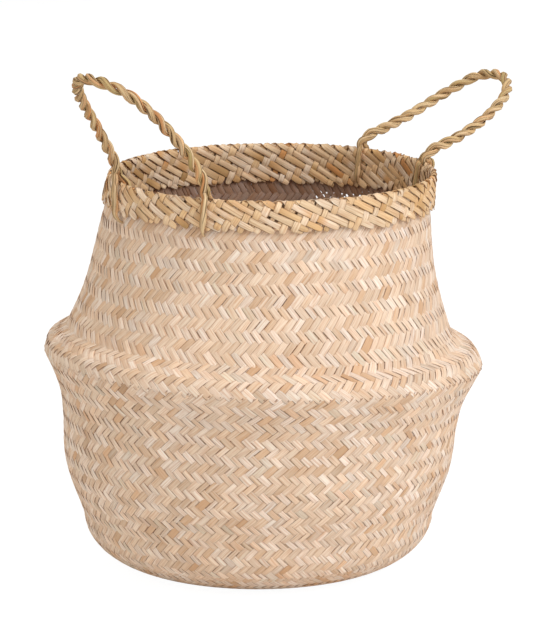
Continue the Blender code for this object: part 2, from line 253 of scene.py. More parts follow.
@dataclass(frozen=True)
class GrassFinish:
    """Dried grass: strips of many tones, with fibres along them and darker edges, partly the grass's
    own and partly painted shade in the gaps between strips.
    """

    name: str
    tones: tuple[tuple[float, int, int, int], ...]
    # Colour of the edge lines: partly the grass's own darker edges, partly painted shade in the gaps
    # between strips; inner faces also lean to it as the painted shade of the inside
    edge: tuple[float, float, float, float]
    fibre: tuple[float, float, float, float]
    roughness: float = 0.68
    specular: float = 0.36
    bump: float = 0.55
    bump_depth: float = 0.35 * MILLIMETRE
    # Features a metre, along and across a strip
    streaks_along: float = 45.0
    streaks_across: float = 950.0
    blotches: tuple[float, float] = (22.0, 160.0)
    streak_detail: float = 4.0
    blotch_detail: float = 3.0
    grain: float = 0.6
    # Amounts at which a mix begins and is full, and the share mixed in where it is full
    streak_mix: tuple[float, float, float] = (0.42, 0.66, 0.70)
    blotch_mix: tuple[float, float, float] = (0.54, 0.80, 0.60)
    edge_mix: tuple[float, float, float] = (0.05, 1.0, 0.95)
    # Brightness at level 0, and what a level of 1 adds to it
    level_start: float = 0.78
    level_gain: float = 0.44

    def build(self) -> bpy.types.Material:
        """Make the material.

        Returns:
            A material whose colour follows the strips' own tones, their edge lines and the painted
            shade that they carry.
        """
        material = bpy.data.materials.new(self.name)
        material.use_nodes = True
        tree = material.node_tree
        # The tone attribute: red picks the grass's tone, green the share of edge colour and blue the
        # lightness, both of these with painted shade in them
        tone = add_node(tree, "ShaderNodeAttribute")
        tone.attribute_name = "tone"
        parts = add_node(tree, "ShaderNodeSeparateColor", {"Color": tone.outputs["Color"]})
        ramp = add_node(tree, "ShaderNodeValToRGB", {"Fac": parts.outputs["Red"]})
        stops = ramp.color_ramp.elements
        while len(stops) < len(self.tones):
            stops.new(0.5)
        for stop, (place, *colour) in zip(stops, self.tones):
            stop.position = place
            stop.color = srgb(*colour)
        streaks = self.noise(tree, self.streaks_along, self.streaks_across, self.streak_detail)
        blotches = self.noise(tree, *self.blotches, self.blotch_detail)
        streaked = self.mixed(tree, ramp.outputs["Color"], self.fibre, streaks, *self.streak_mix)
        blotched = self.mixed(tree, streaked, self.fibre, blotches, *self.blotch_mix)
        # Edge colour mixed in: the grass's darker edges together with painted shade of the gaps between
        # strips and of the inside
        edged = self.mixed(tree, blotched, self.edge, parts.outputs["Green"], *self.edge_mix)
        levels = {0: parts.outputs["Blue"], 1: self.level_gain, 2: self.level_start}
        level = add_node(tree, "ShaderNodeMath", levels)
        level.operation = "MULTIPLY_ADD"
        shaded = {"Value": level.outputs[0], "Color": edged}
        colour = add_node(tree, "ShaderNodeHueSaturation", shaded).outputs["Color"]
        relief = {"Strength": self.bump, "Distance": self.bump_depth, "Height": streaks}
        normal = add_node(tree, "ShaderNodeBump", relief).outputs["Normal"]
        surface = {"Roughness": self.roughness, "Specular IOR Level": self.specular}
        surface |= {"Base Color": colour, "Normal": normal}
        connect(tree, tree.nodes["Principled BSDF"], surface)
        return material

    def noise(
        self, tree: bpy.types.NodeTree, along: float, across: float, detail: float
    ) -> bpy.types.NodeSocket:
        """Noise stretched along a strip.

        Args:
            tree: The material's node tree.
            along: Features a metre along the strip.
            across: Features a metre across it.
            detail: Levels of detail.

        Returns:
            The noise's value.
        """
        place = add_node(tree, "ShaderNodeUVMap")
        place.uv_map = "Strip"
        stretch = {"Vector": place.outputs["UV"], "Scale": (along, across, 1.0)}
        vector = add_node(tree, "ShaderNodeMapping", stretch).outputs["Vector"]
        looks = {"Vector": vector, "Scale": 1.0, "Detail": detail, "Roughness": self.grain}
        return add_node(tree, "ShaderNodeTexNoise", looks).outputs["Fac"]

    @staticmethod
    def mixed(
        tree: bpy.types.NodeTree,
        base: bpy.types.NodeSocket,
        other: tuple[float, float, float, float],
        amount: bpy.types.NodeSocket,
        low: float,
        high: float,
        most: float,
    ) -> bpy.types.NodeSocket:
        """Mix another colour in where an amount is large.

        Args:
            tree: The material's node tree.
            base: Colour output to start from.
            other: Colour mixed in.
            amount: Output that says where.
            low: Amount at which the mix begins.
            high: Amount at which it is full.
            most: Share of the other colour where it is full.

        Returns:
            The mixed colour's output.
        """
        spread = {"Value": amount, "From Min": low, "From Max": high, "To Max": most}
        share = add_node(tree, "ShaderNodeMapRange", spread).outputs["Result"]
        mix = tree.nodes.new("ShaderNodeMix")
        mix.data_type = "RGBA"
        connect(tree, mix, {0: share, 6: base, 7: other})
        return mix.outputs[2]


WEAVE_FINISH = GrassFinish(
    name="plaited_grass",
    tones=(
        (0.00, 214, 172, 132), (0.16, 226, 190, 154), (0.34, 236, 209, 180),
        (0.52, 241, 217, 191), (0.72, 248, 231, 213), (0.88, 231, 215, 190),
        (1.00, 233, 194, 158),
    ),
    # Edge lines, partly the grass's own and partly painted shade in the gaps between strips
    edge=srgb(124, 60, 20),
    fibre=srgb(210, 160, 118),
)
RIM_FINISH = GrassFinish(
    name="rim_grass",
    tones=(
        (0.00, 166, 132, 76), (0.16, 214, 170, 112), (0.36, 236, 198, 148),
        (0.60, 244, 214, 174), (0.80, 248, 226, 198), (0.92, 226, 180, 124),
        (1.00, 214, 150, 86),
    ),
    # Edge lines, partly the grass's own and partly painted shade in the gaps between strips
    edge=srgb(100, 56, 24),
    fibre=srgb(200, 148, 102),
)
ROPE_FINISH = GrassFinish(
    name="rope_grass",
    tones=(
        (0.00, 158, 140, 88), (0.22, 196, 172, 116), (0.45, 220, 186, 134),
        (0.68, 236, 208, 162), (0.85, 236, 190, 138), (1.00, 222, 158, 100),
    ),
    # Lines between blades, partly the grass's own edges and partly painted shade in the grooves
    edge=srgb(78, 50, 24),
    fibre=srgb(168, 118, 70),
    streaks_across=900.0,
    bump=0.35,
)


@dataclass
class BasketForm:
    """Outline of the basket: a turned form that leans and whose ridge tilts."""

    base_radius: float = 0.0863
    corner_reach: float = 0.0515
    corner_rise: float = 0.040
    side: tuple = ((0.1514, 0.079), (0.1546, 0.113), (0.1588, 0.1362))
    ridge: tuple = (0.1716, 0.1645)
    neck: tuple = ((0.1665, 0.1754), (0.154, 0.1832), (0.1484, 0.191), (0.1354, 0.230))
    collar: tuple = (0.1262, 0.283)
    weave_top: float = 0.292
    rim_height: float = 0.3089
    lean: tuple = (0.0085, -0.0073)
    lean_power: float = 5.0
    ridge_drop: float = 0.007
    ridge_slide: float = 0.0036
    drop_direction: tuple = (0.755, -0.656)
    rim_tilt: float = 0.0046
    tilt_direction: tuple = (-0.192, -0.982)
    weave_tilt: float = 0.0026
    weave_tilt_direction: tuple = (-0.755, 0.656)
    normal_reach: float = 1.2 * MILLIMETRE
    steps: int = 10
    line: np.ndarray = field(init=False)
    travelled: np.ndarray = field(init=False)

    def __post_init__(self) -> None:
        """Work out the outer line from the base's centre to under the rim band."""
        turns = np.linspace(0.0, math.pi / 2, 3 * self.steps)
        reach, rise = self.corner_reach * np.sin(turns), self.corner_rise * (1 - np.cos(turns))
        corner = np.stack([self.base_radius + reach, rise], axis=1)
        lower = smooth_line(np.array([corner[-1], *self.side, self.ridge]), self.steps)
        upper = smooth_line(np.array([self.ridge, *self.neck, self.collar]), self.steps)
        top = np.array([(self.collar[0], self.weave_top)])
        self.line = np.vstack([[(0.0, 0.0)], corner, lower[1:], upper[1:], top])
        self.travelled = distances(self.line)

    def travel_at(self, height: float) -> float:
        """Distance travelled along the outer line at a height above the corner."""
        start = int(np.searchsorted(self.line[:, 1], self.corner_rise))
        return float(np.interp(height, self.line[start:, 1], self.travelled[start:]))

    def at(self, travelled: np.ndarray) -> Section:
        """Radius, height and outward normal on the outer line.

        Args:
            travelled: Distances along the line from the base's centre.

        Returns:
            Radius, height, and the normal's parts outward and up.
        """
        return section_at(self.line, self.travelled, travelled, self.normal_reach)

    def settle(self, points: np.ndarray) -> np.ndarray:
        """Move points of the true turned form to where the hand-made basket has them.

        Args:
            points: Points, with x, y and z along the last axis.

        Returns:
            The moved points.
        """
        x, y, z = points[..., 0], points[..., 1], points[..., 2]
        rise = smooth_share(z, self.corner_rise, self.ridge[1])
        fall = smooth_share(z, self.ridge[1], self.neck[-1][1])
        side = (x * self.drop_direction[0] + y * self.drop_direction[1]) / self.ridge[0]
        drop = self.ridge_drop * side * (rise - fall)
        along = x * self.weave_tilt_direction[0] + y * self.weave_tilt_direction[1]
        tilt = self.rim_drop(x, y) + self.weave_tilt * along / self.collar[0]
        drop = drop + tilt * smooth_share(z, self.neck[-1][1], self.rim_height)
        slide = smooth_share(z, self.side[0][1], self.ridge[1])
        slide = self.ridge_slide * (slide - smooth_share(z, self.ridge[1], self.neck[2][1]))
        share = (np.clip(z, 0.0, self.rim_height) / self.rim_height) ** self.lean_power
        x = x + self.lean[0] * share + self.drop_direction[0] * slide
        y = y + self.lean[1] * share + self.drop_direction[1] * slide
        return np.stack([x, y, z - drop], axis=-1)

    def rim_drop(self, x: np.ndarray, y: np.ndarray) -> np.ndarray:
        """How far the tilted rim lies below its middle at a place, or along a direction."""
        along = x * self.tilt_direction[0] + y * self.tilt_direction[1]
        return self.rim_tilt * along / self.collar[0]


@dataclass
class Strips:
    """Many flat strips of grass that are gathered into one mesh."""

    name: str
    finish: GrassFinish
    points: list = field(default_factory=list)
    faces: list = field(default_factory=list)
    smooth: list = field(default_factory=list)
    tones: list = field(default_factory=list)
    strip_uv: list = field(default_factory=list)
    bake_uv: list = field(default_factory=list)
    rows: int = 0
    start: int = 0
    # Painted shade of the inside on the inner face: added to how light it is, and how far its colour
    # goes to the edge's
    inside_shade_level: float = 0.0
    inside_shade_tint: float = 0.0
    # Where the half width is less than this share of the thickness, a strip is thinner too
    thin_share: float = 0.9
    # Distance between the texture places of one strip and the next, along and across
    texture_step: tuple[float, float] = (3.7, 0.61)
    # Part of each cell in the bake layout that is used, and where the ends lie in it
    bake_span: tuple[float, float] = (0.08, 0.92)
    bake_end: tuple[float, float] = (0.001, 0.02)
    # Section of a strip: share of the half width, share of the thickness, edge tone; the edge tone
    # brings in the edge colour, partly painted shade in the gaps between strips
    section: tuple = (
        (-1.0, 0.0, 1.0), (-0.80, 0.5, 0.0), (0.80, 0.5, 0.0),
        (1.0, 0.0, 1.0), (0.80, -0.5, 0.0), (-0.80, -0.5, 0.0),
    )

    def add(
        self,
        centres: np.ndarray,
        normals: np.ndarray,
        half_widths: np.ndarray,
        thickness: float,
        tones_along: np.ndarray,
        levels: np.ndarray,
        edges: np.ndarray | float = 1.0,
        trim: int = 0,
        camber: np.ndarray | float = 0.0,
    ) -> None:
        """Add one strip.

        Args:
            centres: Points along the strip's middle.
            normals: Directions that its face looks in.
            half_widths: Half of its width at each point.
            thickness: Its thickness.
            tones_along: Where its colour lies among the finish's tones at each point, 0 to 1.
            levels: How light it is at each point, around 0.5.
            edges: How dark its edges are at each point, 0 to 1, partly as painted shade in the gaps
                between strips.
            trim: Points left off at each end, which only give the strip its direction.
            camber: How far its edges bend back at each point.
        """
        edges = edges + np.zeros(len(centres))
        camber = camber + np.zeros(len(centres))
        along = unit(np.gradient(centres, axis=0), TINY)
        side = unit(np.cross(along, normals), TINY)
        face_out = np.cross(side, along)
        kept = slice(trim, len(centres) - trim)
        centres, side, face_out = centres[kept], side[kept], face_out[kept]
        half_widths, tones_along = half_widths[kept], tones_along[kept]
        levels, edges, camber = levels[kept], edges[kept], camber[kept]
        count = len(centres)
        travelled = distances(centres)
        corners = len(self.section)
        grid = np.empty((count, corners, 3))
        tones = np.ones((count, corners, 4))
        thinned = np.minimum(1.0, half_widths / (thickness * self.thin_share))
        for c, (across, up, edge) in enumerate(self.section):
            grid[:, c] = centres + side * (half_widths * across)[:, None]
            grid[:, c] += face_out * (thickness * up * thinned - camber * across**2)[:, None]
            tones[:, c, 0] = tones_along
            # Inner faces carry the painted shade of the inside: darker, and more of the edge colour
            inner = up < 0
            tones[:, c, 1] = edge * edges + (self.inside_shade_tint if inner else 0.0)
            tones[:, c, 2] = levels + (self.inside_shade_level if inner else 0.0)
        index = self.start + np.arange(count * corners).reshape(count, corners)
        left, right = index[:-1], index[1:]
        quads = np.stack(
            [left, np.roll(left, -1, axis=1), np.roll(right, -1, axis=1), right], axis=-1
        )
        self.points.append(grid.reshape(-1, 3))
        self.tones.append(tones.reshape(-1, 4))
        self.faces.append(quads.reshape(-1, 4))
        self.smooth.append(np.ones((count - 1) * corners, dtype=bool))
        shares = np.array([corner[0] for corner in self.section])
        across = shares * float(np.mean(half_widths)) + self.texture_step[1] * self.rows
        placed = travelled + self.texture_step[0] * self.rows
        self.strip_uv.append(self.patches(placed, across, np.roll(across, -1)))
        cells = np.arange(corners)
        low, high = ((cells + edge) / corners + self.rows for edge in self.bake_span)
        self.bake_uv.append(self.patches(travelled / max(travelled[-1], TINY), low, high))
        self.add_caps([index[0][::-1], index[-1]])
        self.rows += 1
        self.start += count * corners

    @staticmethod
    def patches(along: np.ndarray, low: np.ndarray, high: np.ndarray) -> np.ndarray:
        """Texture places of the corners of a strip's faces.

        Args:
            along: Place along the strip of each of its points.
            low: Place across it where each side of its section begins.
            high: Place across it where that side ends.

        Returns:
            The places, four for each face.
        """
        near, far, low, high = np.broadcast_arrays(along[:-1, None], along[1:, None], low, high)
        corners = ((near, low), (near, high), (far, high), (far, low))
        return np.stack([np.stack(pair, axis=-1) for pair in corners], axis=2).reshape(-1, 2)

    def add_caps(self, caps: list) -> None:
        """Close both ends of the strip that was added last.

        Args:
            caps: The corners of each end, in order.
        """
        for cap in caps:
            quads = np.array([cap[:4], cap[[0, 3, 4, 5]]])
            self.faces.append(quads)
            self.smooth.append(np.zeros(len(quads), dtype=bool))
            place = (self.texture_step[0] * self.rows, self.texture_step[1] * self.rows)
            self.strip_uv.append(np.tile(place, (quads.size, 1)))
            place = (self.bake_end[0], self.bake_end[1] + self.rows)
            self.bake_uv.append(np.tile(place, (quads.size, 1)))

    def build(self) -> bpy.types.Object:
        """Make the mesh object from the strips.

        Returns:
            The object, dressed in its finish.
        """
        faces = np.vstack(self.faces)
        points = np.vstack(self.points)
        strip_uv = np.vstack(self.strip_uv)
        bake_uv = np.vstack(self.bake_uv) / np.array([1.0, max(self.rows, 1)])
        mesh = bpy.data.meshes.new(self.name)
        mesh.vertices.add(len(points))
        mesh.vertices.foreach_set("co", points.astype(np.float32).reshape(-1))
        mesh.loops.add(faces.size)
        mesh.loops.foreach_set("vertex_index", faces.reshape(-1).astype(np.int32))
        mesh.polygons.add(len(faces))
        mesh.polygons.foreach_set("loop_start", np.arange(0, faces.size, 4, dtype=np.int32))
        mesh.polygons.foreach_set("use_smooth", np.concatenate(self.smooth))
        mesh.update(calc_edges=True)
        for label, rows in (("Strip", strip_uv), ("OFBake", bake_uv)):
            layer = mesh.uv_layers.new(name=label)
            layer.data.foreach_set("uv", rows.astype(np.float32).reshape(-1))
        colours = mesh.color_attributes.new("tone", "FLOAT_COLOR", "POINT")
        colours.data.foreach_set("color", np.vstack(self.tones).astype(np.float32).reshape(-1))
        mesh.validate()
        piece = bpy.data.objects.new(self.name, mesh)
        bpy.context.scene.collection.objects.link(piece)
        piece.data.materials.append(FINISHES.material(self.finish))
        LOG.info("%s: %d faces", self.name, len(mesh.polygons))
        return piece


class FinishShelf:
    """Keeps one material for each finish."""

    def __init__(self) -> None:
        """Start with no materials."""
        self.made: dict[str, bpy.types.Material] = {}

    def material(self, finish: GrassFinish) -> bpy.types.Material:
        """The finish's material, made when it is first asked for.

        Args:
            finish: The finish.

        Returns:
            The material.
        """
        if finish.name not in self.made:
            self.made[finish.name] = finish.build()
        return self.made[finish.name]


FINISHES = FinishShelf()


def seat(piece: bpy.types.Object, slot: str, *nodes: str) -> None:
    """Let a piece ride on the basket and stand for CAD nodes.

    Args:
        piece: The piece.
        slot: Its material slot; not used.
        nodes: The nodes that it stands for.
    """
    if nodes:
        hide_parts(*nodes)
    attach(piece, "basket")


@dataclass
class PlaitedWall:
    """The two families of strips that are plaited round the wall from base to rim."""

    form: BasketForm
    strips: int = 132
    mat_travel: float = 0.135
    mat_rows: int = 33
    lower_step: float = 0.00352
    upper_step: float = 0.00432
    # Distances before and after the ridge between which the rows grow taller
    step_change: tuple = (0.02, 0.04)
    samples: int = 2
    thickness: float = 0.00056
    lift: float = 0.00034
    ridge_lift_share: float = 0.5
    ridge_fill: float = 0.08
    depth: float = 0.00066
    falling_fill: float = 0.995
    rising_fill: float = 1.05
    # Distance from the ridge over which strips widen and bend across, and the share of
    # the half width that the bend is worked out at
    ridge_reach: float = 0.007
    camber_share: float = 0.85
    # Under the band at the back the plait is loose: middle and half width, in radians
    loose_place: tuple = (0.30, 0.30)
    # Share of that width where it is loosest, and how much narrower its strips are
    loose_core_share: float = 0.6
    loose_most: float = 0.85
    # Distances below the strips' top where it starts, is full, begins to end and has ended
    loose_below: tuple = (0.031, 0.027, 0.023, 0.019)
    # Middle tone, and spreads of tones, borders and levels from strip to strip and along
    # each strip
    tone_middle: float = 0.48
    tone_spread: tuple = (0.11, 0.13)
    border_spread: tuple = (0.075, 0.05)
    level_spread: tuple = (0.09, 0.09)
    shade_spread: float = 0.06
    height_spread: float = 0.07 * MILLIMETRE
    # Edges' darkness, partly painted shade in the gaps between strips, is drawn between these, but some
    # floats' edges are fully dark as painted shade of deep gaps, and most of those floats are narrow
    # too
    edge_range: tuple = (0.30, 0.90)
    gap_shade_chance: float = 0.15
    narrow_chance: float = 0.10
    narrow_share: float = 0.84
    # Split strips: how often, how far apart and how wide their halves are, their tones
    split_chance: float = 0.07
    split_gap_share: float = 1.02
    split_width_share: float = 0.49
    split_tone: float = 0.2
    falling_tone: float = 0.10
    rising_tone: float = -0.05
    # Painted shade: a strip is a little lighter where it runs over and darker where it dives under
    over_under_shade: float = 0.02
    seed: int = 11

    def row_travel(self) -> np.ndarray:
        """Distance along the outer line of each row.

        Returns:
            The distances, from the mat's edge to the rim.
        """
        ridge = self.form.travel_at(self.form.ridge[1])
        places = [self.mat_travel]
        while places[-1] < self.form.travelled[-1]:
            low, high = ridge - self.step_change[0], ridge + self.step_change[1]
            share = float(smooth_share(np.array(places[-1]), low, high))
            places.append(places[-1] + self.lower_step * (1 - share) + self.upper_step * share)
        return np.array(places)

    def build(self) -> None:
        """Build the wall's strips, which run unbroken over the ridge."""
        rng = np.random.default_rng(self.seed)
        travel = self.row_travel()
        for lean in Lean:
            looks = self.strip_looks(rng, len(travel) + 1)
            for first, letter in enumerate("ab"):
                name = f"wall_{lean.name.lower()}_strips_{letter}"
                piece = self.family(name, lean, travel, looks, first)
                nodes = ("lower_wall", "upper_wall") if lean is Lean.FALLING and first == 0 else ()
                seat(piece, "plaited_grass", *nodes)

    def strip_looks(self, rng: np.random.Generator, rows: int) -> dict[str, np.ndarray]:
        """Draw each strip's tone, width, place and how they change along it.

        Args:
            rng: Seeded source of the draws.
            rows: Number of rows that the strips pass.

        Returns:
            The draws by name.
        """
        count, floats = self.strips, rows // 4 + 3
        samples = (rows + 2) * self.samples + 1
        rare = rng.uniform(0, 1, (count, floats))
        return {
            "tone": rng.normal(0.0, self.tone_spread[0], (count, 1))
            + rng.normal(self.tone_middle, self.tone_spread[1], (count, floats)),
            "edge": np.where(
                rare < self.gap_shade_chance, 1.0, rng.uniform(*self.edge_range, (count, floats))
            ),
            "narrow": np.where(rare < self.narrow_chance, self.narrow_share, 1.0),
            "border": rng.normal(0.0, self.border_spread[0], (count, 1))
            + wavy(rng, count, samples, rows // 4) * self.border_spread[1],
            "split": rng.uniform(0, 1, count) < self.split_chance,
            "loose": rng.uniform(0.0, 1.0, count),
            "level": rng.normal(0.0, self.level_spread[0], (count, 1))
            + rng.normal(0.0, self.level_spread[1], (count, floats)),
            "shade": wavy(rng, count, samples, rows // 2) * self.shade_spread,
            "height": wavy(rng, count, samples, rows // 3) * self.height_spread,
        }

    def family(
        self, name: str, lean: Lean, travel: np.ndarray, looks: dict[str, np.ndarray], first: int
    ) -> bpy.types.Object:
        """Build every second strip of one family.

        Args:
            name: Name of the piece.
            lean: Which way the strips lean.
            travel: Distance along the outer line of each row.
            looks: Each strip's draws.
            first: Number of the first strip.

        Returns:
            The piece.
        """
        last = (len(travel) - 1) * self.samples
        rows = np.arange(-self.samples - 1, last + 2) / self.samples
        places = np.interp(rows, np.arange(len(travel)), travel)
        places = np.where(rows < 0, travel[0] + rows * self.lower_step, places)
        radius, height, out_n, up_n = self.form.at(places)
        falling = lean is Lean.FALLING
        over = twill(rows) if falling else -twill(rows)
        pitch = 2 * math.pi / self.strips
        # Number of each point, and of its float: a float and the dive after it take four rows
        at = (rows * self.samples).astype(int) + 2 * self.samples
        floats = ((rows + (0.5 if falling else 2.5)) // 4).astype(int) + 1
        step = np.gradient(places, rows)
        half = radius * pitch * np.sin(np.arctan2(2 * step, radius * pitch)) / 2
        half = half * (self.falling_fill if falling else self.rising_fill)
        begin, full, ending, end = (travel[-1] - depth for depth in self.loose_below)
        below_band = smooth_share(places, begin, full) * (1 - smooth_share(places, ending, end))
        # Over the ridge strips are broader and lie deeper where they run under
        ridge = self.form.travel_at(self.form.ridge[1])
        near_ridge = np.exp(-(((places - ridge) / self.ridge_reach) ** 2))
        raised = 1 + self.ridge_lift_share * near_ridge * (over < 0)
        half = half * (1 + self.ridge_fill * near_ridge)
        bent = np.gradient(np.arctan2(up_n, out_n)) / np.maximum(np.gradient(places), MILLIMETRE)
        camber = near_ridge * bent * (half * self.camber_share) ** 2 / 2
        strips = Strips(name, WEAVE_FINISH, **PAINTED_INSIDE_SHADE)
        for i in range(first, self.strips, 2):
            before, after = looks["border"][i - 1][at], looks["border"][i][at]
            middle = pitch * (i + lean.value * rows / 2 + (before + after) / 2)
            width = half * (1 + after - before) * looks["narrow"][i][floats]
            away = np.abs((middle - self.loose_place[0] + math.pi) % (2 * math.pi) - math.pi)
            core = self.loose_place[1] * self.loose_core_share
            loose = 1 - smooth_share(away, core, self.loose_place[1])
            width = width * (1 - below_band * loose * self.loose_most * looks["loose"][i])
            lift = self.lift * over * raised - self.depth + looks["height"][i][at]
            flat, up = radius + out_n * lift, height + up_n * lift
            # Lightness: random, plus painted shade that is lighter over and darker under
            level = 0.5 + looks["level"][i][floats] + looks["shade"][i][at] + self.over_under_shade * over
            tone = looks["tone"][i][floats] + (self.falling_tone if falling else self.rising_tone)
            for part in (-0.5, 0.5) if looks["split"][i] else (0.0,):
                turn = middle + part * width / radius * self.split_gap_share
                strips.add(
                    self.form.settle(turned(flat, turn, up)),
                    turned(out_n, turn, up_n),
                    width * (self.split_width_share if part else 1.0),
                    self.thickness,
                    np.clip(tone + part * self.split_tone, 0.0, 1.0),
                    level,
                    looks["edge"][i][floats],
                    trim=1,
                    camber=camber,
                )
        return strips.build()


@dataclass
class PlaitedMat:
    """The square mat of strips that the wall rises from, drawn round into a disc."""

    form: BasketForm
    wall: PlaitedWall
    cell: float = 0.0058
    samples: int = 2
    depth: float = 0.00082
    lift: float = 0.00036
    half_width: float = 0.00282
    thickness: float = 0.00062
    # Rows at the mat's edge that lie round, and a hair that gives its middle an angle
    round_rows: float = 4.0
    off_middle: float = 1e-9
    # How strips narrow away from the middle and widen near the wall: by how much, and
    # the distances where that starts and ends
    narrowing: tuple = (0.22, 0.03, 0.11)
    widening: tuple = (0.25, 0.115, 0.135)
    # Darkness of the edge lines, partly the grass's own and partly painted shade in the gaps between
    # strips
    edge: float = 0.6
    width_spread: float = 0.05
    level_waves: float = 0.1
    tone_spread: float = 0.2
    tone_waves: float = 0.15
    seed: int = 23

    def place(self, a: np.ndarray, b: np.ndarray) -> tuple[np.ndarray, np.ndarray]:
        """Where a point of the square mat lies on the round base.

        Args:
            a: Place on the mat along its first side, in strips from its middle.
            b: Place along its second side.

        Returns:
            Distance travelled from the base's centre, and angle.
        """
        rows = np.abs(a) + np.abs(b) + self.off_middle
        quarter = np.where(a >= 0, np.where(b >= 0, 0, 3), np.where(b >= 0, 1, 2))
        share = np.where(quarter % 2 == 0, np.abs(b), np.abs(a)) / rows
        turn = (quarter + share) * math.pi / 2
        travelled = rows / self.wall.mat_rows * self.wall.mat_travel
        round_x, round_y = travelled * np.cos(turn), travelled * np.sin(turn)
        mix = smooth_share(rows, 0.0, self.wall.mat_rows - self.round_rows)
        x = (1 - mix) * a * self.cell + mix * round_x
        y = (1 - mix) * b * self.cell + mix * round_y
        return np.hypot(x, y), np.arctan2(y, x)

    def build(self) -> None:
        """Build the mat's two families of strips."""
        rng = np.random.default_rng(self.seed)
        for k, name in enumerate(("base_mat_long_strips", "base_mat_cross_strips")):
            strips = Strips(name, WEAVE_FINISH, **PAINTED_INSIDE_SHADE)
            for line in range(1 - self.wall.mat_rows, self.wall.mat_rows):
                self.strip(strips, rng, line, crosswise=bool(k))
            piece = strips.build()
            seat(piece, "plaited_grass", *(("base_mat",) if k == 0 else ()))

    def strip(self, strips: Strips, rng: np.random.Generator, line: int, crosswise: bool) -> None:
        """Add one strip of the mat.

        Args:
            strips: Gathers the strips.
            rng: Seeded source of the draws.
            line: Which strip, counted from the middle.
            crosswise: Whether it belongs to the family that runs across.
        """
        reach = self.wall.mat_rows - abs(line)
        run = np.arange(-reach * self.samples, reach * self.samples + 1) / self.samples
        fixed = np.full_like(run, float(line))
        a, b = (fixed, run) if crosswise else (run, fixed)
        travelled, turn = self.place(a, b)
        radius, height, out_n, up_n = self.form.at(travelled)
        over = twill(a + b - self.wall.mat_rows) * (-1 if crosswise else 1)
        level = 0.5 + wave(rng, len(run), max(reach, 2)) * self.level_waves
        lift = self.lift * over - self.depth
        points = turned(radius + out_n * lift, turn, height + up_n * lift)
        width = self.half_width * rng.normal(1.0, self.width_spread) * np.ones(len(run))
        width = width * (1 - self.narrowing[0] * smooth_share(travelled, *self.narrowing[1:]))
        width = width * (1 + self.widening[0] * smooth_share(travelled, *self.widening[1:]))
        tone = Variation(0.5, self.tone_spread, self.tone_waves, max(reach // 2, 2))
        strips.add(
            self.form.settle(points), turned(out_n, turn, up_n), width, self.thickness,
            np.clip(tone.draw(rng, len(run)), 0, 1), level, self.edge,
        )


